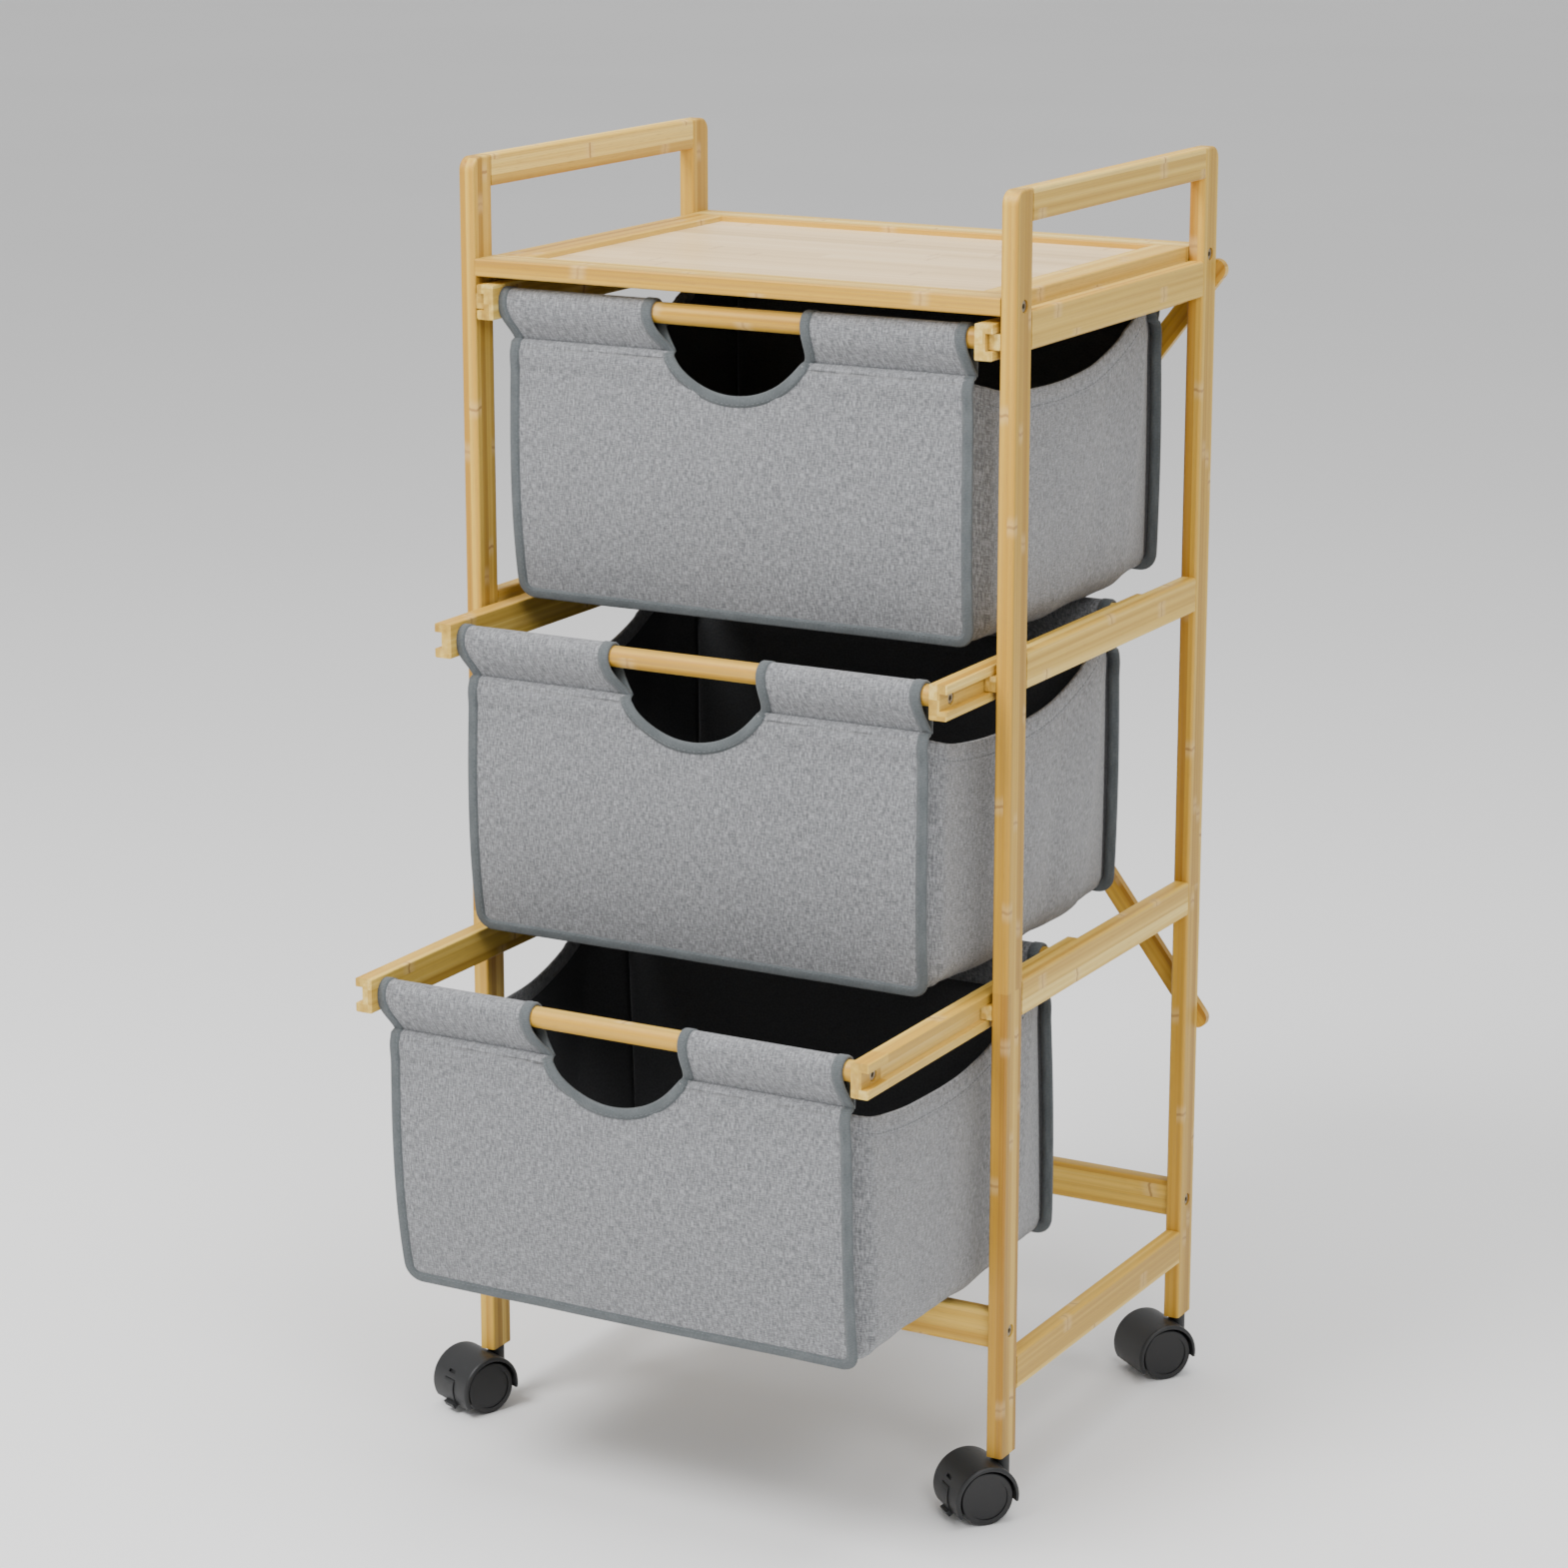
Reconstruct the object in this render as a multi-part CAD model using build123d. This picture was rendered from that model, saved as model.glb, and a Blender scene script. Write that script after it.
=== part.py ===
from build123d import *
import os
from math import atan2, cos, degrees, hypot, radians, sin

# A bamboo laundry sorter on four twin-wheel casters: two ladder side frames joined by a tray and
# two stretchers, with three pull-out drawers, each a fabric bag hung between two grooved runners.
# Millimetres, +Z up, the front faces -Y, and z = 0 is the floor.

# ---------------------------------------------------------------- driving dimensions
WIDTH = 440.0            # over the legs' outer faces
DEPTH = 334.0            # over the legs' front and back faces
HEIGHT = 945.0           # floor to the top of the legs
CASTER_HEIGHT = 45.0     # floor to the underside of the legs
LEG_THICK = 12.5         # leg section along X
LEG_DEEP = 24.0          # leg section along Y
LEG_TOP_RADIUS = 10.0    # outer top corner of each leg
STICK_EDGE = 2.0         # rounding of the long edges of legs, rails and stretchers
STRIP_EDGE = 1.5         # ... of the tray's strips
RUNNER_EDGE = 1.2        # ... of the runners
GUIDE_EDGE = 0.6         # ... of the guides

HANDLE_TALL = 22.5       # top rail that serves as the handle
RAIL_TALL = 26.0         # the other side rails
RAIL_LEVELS = {"upper": 850.0, "middle_high": 616.0, "middle_low": 382.0, "bottom": 103.0}

TRAY_TOP = 873.5
TRAY_THICK = 12.5
TRAY_SIDE_STRIP = 26.5
TRAY_END_STRIP = 28.0
PANEL_THICK = 6.0
PANEL_DROP = 4.5         # the panel lies this far below the strips' top
PANEL_TONGUE = 5.0       # how far the panel's edge enters the strips
TONGUE_THICK = 4.0

STRETCHER_TALL = 28.0
STRETCHER_THICK = 12.0
STRETCHER_MIDDLE_Z = 139.0

BRACE_WIDE = 16.0
BRACE_THICK = 6.0
BRACE_REACH = 219.0      # sideways distance of the rounded ends' centres
BRACE_LOW_Z = 282.0
BRACE_HIGH_Z = 854.0

AXIS_BELOW_RAIL = 6.5    # the drawers' runners sit this far below their rail's middle
RUNNER_LONG = 334.0
RUNNER_TALL = 25.0
RUNNER_WIDE = 13.5
RUNNER_OUTER_X = 204.0   # outer face of the right runner
GROOVE_TALL = 12.0
GROOVE_DEEP = 5.6
GUIDE_TALL = 11.0
GUIDE_TO_GROOVE = 0.6    # free play between the guide and the groove's floor
GUIDE_LONG = 332.0

DOWEL_RADIUS = 7.5
DOWEL_FROM_END = 17.0    # from a runner's end to the dowel's axis
DRAWERS = {"top": "upper", "middle": "middle_high", "bottom": "middle_low"}
CLOSED_FRONT_Y = -170.5  # front end of a closed drawer's runners
PULLED_OUT = {"top": 0.0, "middle": 62.5, "bottom": 172.0}

BAG_HALF = 182.0         # half the bag's width
BAG_DROP = 214.0         # from the dowels' axis to the bag's underside
FABRIC = 2.0             # wall of the bag, with its hems
SLEEVE_GAP = 0.3         # between a dowel and its sleeve
SLEEVE_END = 178.0
SCOOP_HALF = 60.0        # the hand opening in the bag's front
SCOOP_DROP = 54.0
SEAM_DROP = 28.0         # from the dowels' axis to the seam that closes a sleeve
SEAM_LEAN = 5.0          # how far the end walls lean inwards at that seam ...
FLOOR_LEAN = 13.0        # ... and at the bag's floor
FLOOR_CORNER = 10.0      # outer radius where the end walls turn into the floor
# the sagging hem of the side walls: from the runner's front end, and from the dowels' axis
HEM = [(0, -30), (70, -42), (150, -46), (230, -33), (300, -2)]

WHEEL_RADIUS = 20.0
WHEEL_INNER = 8.0        # a wheel runs from here ...
WHEEL_OUTER = 21.0       # ... to here along its axle, on each side of the web
TRAIL = 19.0             # from the stem's axis to the axle
HOOD_OUTER = 24.5
HOOD_INNER = 21.6
HOOD_HALF = 22.5
HOOD_RIM = 2.4           # rounding of the hood's outer rims
HOOD_BACK_ANGLE = -10.0  # the hood's end on the stem's side, from the horizontal
HOOD_FRONT_ANGLE = 210.0
WEB_HALF = 5.5
AXLE_RADIUS = 2.5
BOSS_RADIUS = 6.3
BOSS_BELOW_LEG = 0.6     # the boss turns this far below the leg
BOSS_FOOT = 3.0          # the boss runs down to this height above the axle
HUB_RADIUS = 6.0         # the wheels' hubs, next to the web
HUB_GAP = 0.6            # between a hub and the web
WHEEL_EDGE = 1.6         # rounding of the wheels' rims
DISH_RADIUS = 15.5       # the shallow dish in a wheel's outer face
DISH_DEEP = 0.8
AXLE_SHORT = 2.0         # the axle ends this far inside the wheels' outer faces
STEM_RADIUS = 3.0
STEM_UP = 35.0           # how far the stem enters the leg
STEM_DOWN = 17.0         # how far it enters the housing
STEM_END_GAP = 0.5       # under the stem's lower end
RUNNING_GAP = 0.05
LEVER_HALF = 6.0         # half the lever's width
LEVER_PLAY = 0.4         # between the lever and its opening in the hood
LEVER_INNER = 22.2       # the lever's plate, as radii round the axle ...
LEVER_OUTER = 25.3
LEVER_TOE = 28.1         # ... and the toe that the foot presses
LEVER_TOE_ARC = 9.0
LEVER_PIVOT_ANGLE = 168.0
LEVER_PIVOT_RADIUS = 22.9
LEVER_TIP_ANGLE = 214.0
KNUCKLE_RADIUS = 2.4
KNUCKLE_ROOM = 3.1
LEVER_OPENING_INNER = 15.5
LEVER_OPENING_END = 230.0
LEVER_PIN_RADIUS = 1.1
LEVER_PIN_HALF = 8.2
LEVER_PIN_HOLE_HALF = 9.0
DIMPLE_ARC = (146.0, 152.0)   # the small slot moulded in the hood above the lever
DIMPLE_HALF = 4.0
DIMPLE_DEEP = 1.6

# heading: the way the closed side of the hood points, from -Y towards -X, in degrees
CASTERS = {
    "front_left": {"heading": 23.0, "brake": True},
    "front_right": {"heading": 40.0, "brake": True},
    "back_left": {"heading": 30.0, "brake": False},
    "back_right": {"heading": 37.0, "brake": False},
}

# ---------------------------------------------------------------- derived places
OUTER_X = WIDTH / 2
INNER_X = OUTER_X - LEG_THICK
LEG_X = OUTER_X - LEG_THICK / 2
LEG_Y = DEPTH / 2 - LEG_DEEP / 2
RAIL_Y = DEPTH / 2 - LEG_DEEP
RUNNER_INNER_X = RUNNER_OUTER_X - RUNNER_WIDE
GROOVE_FLOOR_X = RUNNER_OUTER_X - GROOVE_DEEP
AXLE_Z = WHEEL_RADIUS - CASTER_HEIGHT      # from the underside of the leg
SIDES = {"left": -1, "right": 1}
ENDS = {"front": -1, "back": 1}
PAST = 1.0               # cutting shapes run this far past the faces that they cut


def axis_z(drawer):
    """Height of a drawer's runners and dowels."""
    return RAIL_LEVELS[DRAWERS[drawer]] - AXIS_BELOW_RAIL


def front_y(drawer):
    """Front end of a drawer's runners, as the drawer stands."""
    return CLOSED_FRONT_Y - PULLED_OUT[drawer]


def block(x0, x1, y0, y1, z0, z1):
    """A box between two corners, given as three pairs."""
    size = Box(abs(x1 - x0), abs(y1 - y0), abs(z1 - z0))
    return Pos((x0 + x1) / 2, (y0 + y1) / 2, (z0 + z1) / 2) * size


def stick(x0, x1, y0, y1, z0, z1, along, edge=STICK_EDGE):
    """A bamboo bar with its long edges rounded."""
    bar = block(x0, x1, y0, y1, z0, z1)
    return fillet(bar.edges().filter_by(along), edge)


def rod(start, end, radius):
    """A round bar between two points."""
    way = Vector(*end) - Vector(*start)
    plane = Plane(origin=start, z_dir=way)
    return extrude(plane * Circle(radius), way.length)


# ---------------------------------------------------------------- fasteners
HEAD_RADIUS = 4.0
HEAD_TALL = 3.0
SEAT_RADIUS = 4.6        # the counterbore that a bolt's head sits in
KEY_ACROSS = 4.0         # over the corners of the hexagon socket
KEY_FLOOR = 1.2          # from the head's underside to the socket's floor
FRAME_BOLT = {"radius": 2.5, "long": 42.0, "sunk": 4.0, "hole": 56.0}
DOWEL_SCREW = {"radius": 2.0, "long": 34.0, "sunk": 3.6, "hole": 36.0}
FLAT_HEAD_RADIUS = 3.4   # the countersunk wood screws
FLAT_HEAD_TALL = 2.0
FLAT_SHANK_RADIUS = 1.6
BRACE_SCREW_LONG = 17.0  # through a slat into the leg
GUIDE_SCREW_LONG = 15.0  # through a guide into the leg


def bolt_seat(x, y, z, side, kind=FRAME_BOLT):
    """The counterbore and hole for a bolt that enters a face at x, running inwards."""
    floor = x - side * kind["sunk"]
    seat = rod((x + side * PAST, y, z), (floor, y, z), SEAT_RADIUS)
    return seat + rod((floor, y, z), (floor - side * kind["hole"], y, z), kind["radius"])


def bolt(x, y, z, side, kind=FRAME_BOLT):
    """A socket-head bolt whose head rests on the counterbore's floor."""
    floor = x - side * kind["sunk"]
    head = rod((floor, y, z), (floor + side * HEAD_TALL, y, z), HEAD_RADIUS)
    body = head + rod((floor, y, z), (floor - side * kind["long"], y, z), kind["radius"])
    key = Plane(origin=(floor + side * KEY_FLOOR, y, z), z_dir=(side, 0, 0))
    return body - extrude(key * RegularPolygon(KEY_ACROSS / 2, 6), HEAD_TALL)


def wood_screw(x, y, z, way, long):
    """A countersunk screw, its flat head flush at (x, y, z), driven along way."""
    plane = Plane(origin=(x, y, z), z_dir=way)
    neck = plane.offset(FLAT_HEAD_TALL)
    head = loft([plane * Circle(FLAT_HEAD_RADIUS), neck * Circle(FLAT_SHANK_RADIUS)])
    return head + extrude(neck * Circle(FLAT_SHANK_RADIUS), long - FLAT_HEAD_TALL)


def brace_screws(rising):
    """The two screws of one slat: +1 for the slat that rises to the right, -1 for the other."""
    rise = BRACE_HIGH_Z - BRACE_LOW_Z
    inward = (BRACE_REACH - LEG_X) * rise / (2 * BRACE_REACH)
    ends = ((rising, BRACE_HIGH_Z - inward), (-rising, BRACE_LOW_Z + inward))
    return [wood_screw(side * LEG_X, DEPTH / 2 + BRACE_THICK, z, (0, -1, 0), BRACE_SCREW_LONG)
            for side, z in ends]


def guide_screws():
    """Two screws in each guide, one into each leg."""
    x = GROOVE_FLOOR_X + GUIDE_TO_GROOVE
    return [wood_screw(side * x, end * LEG_Y, axis_z(drawer), (side, 0, 0), GUIDE_SCREW_LONG)
            for drawer in DRAWERS for side in SIDES.values() for end in ENDS.values()]


def frame_bolt_places():
    """The bolts through the legs into the tray's ends and the stretchers: x, y, z and side."""
    levels = (TRAY_TOP - TRAY_THICK / 2, STRETCHER_MIDDLE_Z)
    return [(side * OUTER_X, end * LEG_Y, z, side)
            for side in SIDES.values() for end in ENDS.values() for z in levels]


# ---------------------------------------------------------------- side frames
def leg(side, end):
    """One leg, with its outer top corner well rounded and the holes for its fasteners."""
    x0, x1 = side * INNER_X, side * OUTER_X
    y0, y1 = end * RAIL_Y, end * DEPTH / 2
    bar = block(x0, x1, y0, y1, CASTER_HEIGHT, HEIGHT)
    corner = bar.edges().filter_by(Axis.X).group_by(Axis.Z)[-1].sort_by(Axis.Y)[0 if end < 0 else -1]
    bar = fillet(corner, LEG_TOP_RADIUS)
    bar = fillet(bar.edges().filter_by(Axis.Z), STICK_EDGE)
    foot = (side * LEG_X, end * LEG_Y, CASTER_HEIGHT)
    bar -= rod(foot, (*foot[:2], CASTER_HEIGHT + STEM_UP), STEM_RADIUS)
    for x, y, z, way in frame_bolt_places():
        if x * side > 0 and y * end > 0:
            bar -= bolt_seat(x, y, z, way)
    return bar


def side_rail(side, middle_z, tall):
    """A rail between the front and back leg of one side."""
    return stick(side * INNER_X, side * OUTER_X, -RAIL_Y, RAIL_Y,
                 middle_z - tall / 2, middle_z + tall / 2, Axis.Y)


def guide(side, drawer):
    """The strip that a runner's groove slides along, screwed to both legs."""
    x_free = GROOVE_FLOOR_X + GUIDE_TO_GROOVE
    z = axis_z(drawer)
    return stick(side * x_free, side * INNER_X, -GUIDE_LONG / 2, GUIDE_LONG / 2,
                 z - GUIDE_TALL / 2, z + GUIDE_TALL / 2, Axis.Y, GUIDE_EDGE)


# ---------------------------------------------------------------- tray, stretchers and brace
def tray_panel():
    """The tray's board, with a thinner tongue round it that enters the strips."""
    x = INNER_X - TRAY_SIDE_STRIP
    y = DEPTH / 2 - TRAY_END_STRIP
    top = TRAY_TOP - PANEL_DROP
    low = top - PANEL_THICK
    tongue_x = x + PANEL_TONGUE
    tongue_y = y + PANEL_TONGUE
    tongue = block(-tongue_x, tongue_x, -tongue_y, tongue_y, low, low + TONGUE_THICK)
    return block(-x, x, -y, y, low, top) + tongue


def tray_strip(name):
    """One of the four strips round the tray's panel, grooved for it."""
    low = TRAY_TOP - TRAY_THICK
    if name in ENDS:
        end = ENDS[name]
        strip = stick(-INNER_X, INNER_X, end * (DEPTH / 2 - TRAY_END_STRIP), end * DEPTH / 2,
                      low, TRAY_TOP, Axis.X, STRIP_EDGE)
        for x, y, z, side in frame_bolt_places():
            if y * end > 0 and z > HEIGHT / 2:
                strip -= bolt_seat(x, y, z, side)
    else:
        side = SIDES[name]
        reach = DEPTH / 2 - TRAY_END_STRIP
        strip = stick(side * (INNER_X - TRAY_SIDE_STRIP), side * INNER_X, -reach, reach,
                      low, TRAY_TOP, Axis.Y, STRIP_EDGE)
    return strip - tray_panel()


def stretcher(end):
    """The low bar between two legs."""
    middle_y = end * LEG_Y
    bar = stick(-INNER_X, INNER_X, middle_y - STRETCHER_THICK / 2, middle_y + STRETCHER_THICK / 2,
                STRETCHER_MIDDLE_Z - STRETCHER_TALL / 2, STRETCHER_MIDDLE_Z + STRETCHER_TALL / 2, Axis.X)
    for x, y, z, side in frame_bolt_places():
        if y * end > 0 and z < HEIGHT / 2:
            bar -= bolt_seat(x, y, z, side)
    return bar


def brace_slat(rising):
    """A slat with rounded ends behind the back legs: +1 rises to the right, -1 to the left."""
    rise = BRACE_HIGH_Z - BRACE_LOW_Z
    run = 2 * BRACE_REACH
    middle = Plane(origin=(0, DEPTH / 2, (BRACE_HIGH_Z + BRACE_LOW_Z) / 2), x_dir=(1, 0, 0), z_dir=(0, -1, 0))
    outline = SlotCenterToCenter(hypot(run, rise), BRACE_WIDE)
    slat = extrude(middle * Rot(0, 0, rising * degrees(atan2(rise, run))) * outline, -BRACE_THICK)
    for screw in brace_screws(rising):
        slat -= screw
    return slat


def brace_slats():
    """Both slats, half lapped where they cross."""
    rising, falling = brace_slat(1), brace_slat(-1)
    cross = rising & falling
    front_half = block(-OUTER_X, OUTER_X, DEPTH / 2 - PAST, DEPTH / 2 + BRACE_THICK / 2, 0, HEIGHT)
    return rising - (cross - front_half), falling - (cross & front_half)


# ---------------------------------------------------------------- drawers
def runner(side, drawer):
    """A grooved runner with a counterbored hole at each dowel."""
    y0 = front_y(drawer)
    z = axis_z(drawer)
    x0, x1 = side * RUNNER_INNER_X, side * RUNNER_OUTER_X
    bar = stick(x0, x1, y0, y0 + RUNNER_LONG, z - RUNNER_TALL / 2, z + RUNNER_TALL / 2, Axis.Y, RUNNER_EDGE)
    bar -= block(side * GROOVE_FLOOR_X, x1 + side * PAST, y0 - PAST, y0 + RUNNER_LONG + PAST,
                 z - GROOVE_TALL / 2, z + GROOVE_TALL / 2)
    for y in dowel_places(drawer):
        bar -= bolt_seat(side * GROOVE_FLOOR_X, y, z, side, DOWEL_SCREW)
    return bar


def dowel_places(drawer):
    """The two dowels' Y."""
    y0 = front_y(drawer)
    return y0 + DOWEL_FROM_END, y0 + RUNNER_LONG - DOWEL_FROM_END


def dowel(y, z):
    """A dowel between the runners, drilled at both ends for its screws."""
    bar = rod((-RUNNER_INNER_X, y, z), (RUNNER_INNER_X, y, z), DOWEL_RADIUS)
    for side in SIDES.values():
        bar -= bolt_seat(side * GROOVE_FLOOR_X, y, z, side, DOWEL_SCREW)
    return bar


def dowel_screws(drawer):
    """The four screws that pull the runners onto the dowels."""
    return [bolt(side * GROOVE_FLOOR_X, y, axis_z(drawer), side, DOWEL_SCREW)
            for side in SIDES.values() for y in dowel_places(drawer)]


def bag_outline(inset):
    """The bag seen from the side, in its drawer's own (y, z), moved in by inset."""
    front = DOWEL_FROM_END - DOWEL_RADIUS - SLEEVE_GAP - FABRIC + inset
    points = [(front, 0), (front + SEAM_LEAN, -SEAM_DROP), (front + FLOOR_LEAN, inset - BAG_DROP)]
    mirrored = [(RUNNER_LONG - y, z) for y, z in reversed(points)]
    face = make_face(Polyline(*points, *mirrored, close=True))
    return fillet(face.vertices().group_by(Axis.Y)[0], FLOOR_CORNER - inset)


def above_hem():
    """What is open above a side wall's hem, in the drawer's own (y, z)."""
    over = Polyline(HEM[-1], (RUNNER_LONG, HEM[-1][1]), (RUNNER_LONG, DOWEL_RADIUS),
                    (HEM[0][0], DOWEL_RADIUS), HEM[0])
    return make_face(Curve() + [Spline(*HEM), over])


def bag(drawer):
    """The fabric bag: an open box hung from sleeves over both dowels, with a hand opening in front."""
    z = axis_z(drawer)
    side_view = Plane(origin=(0, front_y(drawer), z), x_dir=(0, 1, 0), z_dir=(1, 0, 0))
    inner_half = BAG_HALF - FABRIC
    walls = extrude(side_view * bag_outline(0), BAG_HALF, both=True)
    walls -= extrude(side_view * bag_outline(FABRIC), inner_half, both=True)
    for side in SIDES.values():
        walls -= extrude(side_view.offset(side * inner_half) * above_hem(), side * (FABRIC + PAST))
    tube = DOWEL_RADIUS + SLEEVE_GAP
    for y in dowel_places(drawer):
        walls -= rod((-BAG_HALF - PAST, y, z), (BAG_HALF + PAST, y, z), tube)
        sleeve = rod((-SLEEVE_END, y, z), (SLEEVE_END, y, z), tube + FABRIC)
        walls += sleeve - rod((-SLEEVE_END, y, z), (SLEEVE_END, y, z), tube)
    front_view = Plane(origin=(0, front_y(drawer), z), x_dir=(1, 0, 0), z_dir=(0, -1, 0))
    scoop = Ellipse(SCOOP_HALF, SCOOP_DROP)
    scoop += Pos(0, DOWEL_RADIUS) * Rectangle(2 * SCOOP_HALF, 2 * DOWEL_RADIUS)
    return walls - extrude(front_view * scoop, -RUNNER_LONG / 2)


# ---------------------------------------------------------------- casters
def polar(angle, radius):
    """A point round the axle in a caster's own frame, as (y, z); 0 degrees points at the stem."""
    return radius * cos(radians(angle)) - TRAIL, radius * sin(radians(angle)) + AXLE_Z


def arc_sector(inner, outer, start, end, half):
    """A solid sector round the axle between two radii and two angles."""
    side = Plane(origin=(0, -TRAIL, AXLE_Z), x_dir=(0, 1, 0), z_dir=(1, 0, 0))
    ring = Circle(outer) - Circle(inner) if inner else Circle(outer)
    far = 3 * outer
    steps = [start + (end - start) * i / 6 for i in range(7)]
    wedge = make_face(Polyline((0, 0), *[(far * cos(radians(a)), far * sin(radians(a))) for a in steps],
                               close=True))
    return extrude(side * (ring & wedge), half, both=True)


def hood():
    """The curved hood over both wheels, its outer rims rounded."""
    shell = arc_sector(HOOD_INNER, HOOD_OUTER, HOOD_BACK_ANGLE, HOOD_FRONT_ANGLE, HOOD_HALF)
    rims = [e for e in shell.edges().filter_by(GeomType.CIRCLE) if e.radius > (HOOD_INNER + HOOD_OUTER) / 2]
    return fillet(rims, HOOD_RIM)


def housing(brake):
    """A caster's housing: hood, web between the wheels and the boss that turns on the stem."""
    web = arc_sector(0, HOOD_INNER + PAST, HOOD_BACK_ANGLE, HOOD_FRONT_ANGLE, WEB_HALF)
    web += rod((-WEB_HALF, -TRAIL, AXLE_Z), (WEB_HALF, -TRAIL, AXLE_Z), HUB_RADIUS)
    boss = rod((0, 0, AXLE_Z + BOSS_FOOT), (0, 0, -BOSS_BELOW_LEG), BOSS_RADIUS)
    body = hood() + web + boss
    body -= rod((0, 0, 0), (0, 0, -STEM_DOWN), STEM_RADIUS + RUNNING_GAP)
    body -= rod((-HOOD_HALF, -TRAIL, AXLE_Z), (HOOD_HALF, -TRAIL, AXLE_Z), AXLE_RADIUS + RUNNING_GAP)
    if brake:
        y, z = polar(LEVER_PIVOT_ANGLE, LEVER_PIVOT_RADIUS)
        half = LEVER_HALF + LEVER_PLAY
        body -= arc_sector(LEVER_OPENING_INNER, LEVER_TOE, LEVER_PIVOT_ANGLE, LEVER_OPENING_END, half)
        body -= rod((-half, y, z), (half, y, z), KNUCKLE_ROOM)
        body -= rod((-LEVER_PIN_HOLE_HALF, y, z), (LEVER_PIN_HOLE_HALF, y, z), LEVER_PIN_RADIUS + RUNNING_GAP)
        body -= arc_sector(HOOD_OUTER - DIMPLE_DEEP, LEVER_TOE, *DIMPLE_ARC, DIMPLE_HALF)
    return body


def brake_lever():
    """The foot lever let into the hood's lower front, turning on its own moulded pins."""
    plate = arc_sector(LEVER_INNER, LEVER_OUTER, LEVER_PIVOT_ANGLE + 2, LEVER_TIP_ANGLE, LEVER_HALF)
    toe = arc_sector(LEVER_INNER, LEVER_TOE, LEVER_TIP_ANGLE - LEVER_TOE_ARC, LEVER_TIP_ANGLE, LEVER_HALF)
    y, z = polar(LEVER_PIVOT_ANGLE, LEVER_PIVOT_RADIUS)
    knuckle = rod((-LEVER_HALF, y, z), (LEVER_HALF, y, z), KNUCKLE_RADIUS)
    pins = rod((-LEVER_PIN_HALF, y, z), (LEVER_PIN_HALF, y, z), LEVER_PIN_RADIUS)
    return plate + toe + knuckle + pins


def wheel_pair():
    """Two wheels pressed onto one axle, and that axle."""
    y, z = -TRAIL, AXLE_Z
    reach = WHEEL_OUTER - AXLE_SHORT
    axle = rod((-reach, y, z), (reach, y, z), AXLE_RADIUS)
    solids = [axle]
    for side in SIDES.values():
        wheel = rod((side * WHEEL_INNER, y, z), (side * WHEEL_OUTER, y, z), WHEEL_RADIUS)
        wheel = fillet(wheel.edges().filter_by(GeomType.CIRCLE), WHEEL_EDGE)
        wheel += rod((side * (WEB_HALF + HUB_GAP), y, z), (side * (WHEEL_INNER + PAST), y, z), HUB_RADIUS)
        dish_floor = WHEEL_OUTER - DISH_DEEP
        wheel -= rod((side * dish_floor, y, z), (side * (WHEEL_OUTER + PAST), y, z), DISH_RADIUS)
        solids.append(wheel - axle)
    return solids


def stem():
    """The steel stem, held in the leg, that the housing swivels on."""
    return rod((0, 0, STEM_END_GAP - STEM_DOWN), (0, 0, STEM_UP), STEM_RADIUS)


def caster_place(name):
    """Where a caster stands under its leg, turned to its heading."""
    end, side = name.split("_")
    return Pos(SIDES[side] * LEG_X, ENDS[end] * LEG_Y, CASTER_HEIGHT) * Rot(0, 0, -CASTERS[name]["heading"])


# ---------------------------------------------------------------- the whole object
# every node is a list of solids: one piece, or a group of identical fasteners
def make_frame():
    nodes = {}
    for end_name, end in ENDS.items():
        for side_name, side in SIDES.items():
            nodes[f"{end_name}_{side_name}_leg"] = [leg(side, end)]
    for side_name, side in SIDES.items():
        nodes[f"{side_name}_handle_rail"] = [side_rail(side, HEIGHT - HANDLE_TALL / 2, HANDLE_TALL)]
        for level, z in RAIL_LEVELS.items():
            nodes[f"{side_name}_{level}_rail"] = [side_rail(side, z, RAIL_TALL)]
        for drawer in DRAWERS:
            nodes[f"{side_name}_{drawer}_guide"] = [guide(side, drawer)]
    for name in [*ENDS, *SIDES]:
        nodes[f"tray_{name}_strip"] = [tray_strip(name)]
    nodes["tray_panel"] = [tray_panel()]
    for end_name, end in ENDS.items():
        nodes[f"{end_name}_stretcher"] = [stretcher(end)]
    rising, falling = brace_slats()
    nodes["brace_rising_slat"] = [rising]
    nodes["brace_falling_slat"] = [falling]
    screws = brace_screws(1) + brace_screws(-1) + guide_screws()
    for name, shapes in nodes.items():
        if name.endswith("_leg") or name.endswith("_guide"):
            for screw in screws:
                shapes[0] -= screw
    nodes["wood_screws"] = screws
    nodes["frame_bolts"] = [bolt(*place) for place in frame_bolt_places()]
    nodes["caster_stems"] = [caster_place(name) * stem() for name in CASTERS]
    return nodes


def make_drawer(drawer):
    nodes = {}
    for side_name, side in SIDES.items():
        nodes[f"{drawer}_{side_name}_runner"] = [runner(side, drawer)]
    for end_name, y in zip(ENDS, dowel_places(drawer)):
        nodes[f"{drawer}_{end_name}_dowel"] = [dowel(y, axis_z(drawer))]
    nodes[f"{drawer}_bag"] = [bag(drawer)]
    nodes[f"{drawer}_dowel_screws"] = dowel_screws(drawer)
    return nodes


def make_caster(name):
    place = caster_place(name)
    brake = CASTERS[name]["brake"]
    nodes = {f"{name}_caster_housing": [place * housing(brake)],
             f"{name}_caster_wheels": [place * solid for solid in wheel_pair()]}
    if brake:
        nodes[f"{name}_brake_lever"] = [place * brake_lever()]
    return nodes


def make_all():
    nodes = make_frame()
    for drawer in DRAWERS:
        nodes.update(make_drawer(drawer))
    for name in CASTERS:
        nodes.update(make_caster(name))
    return nodes


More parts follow.
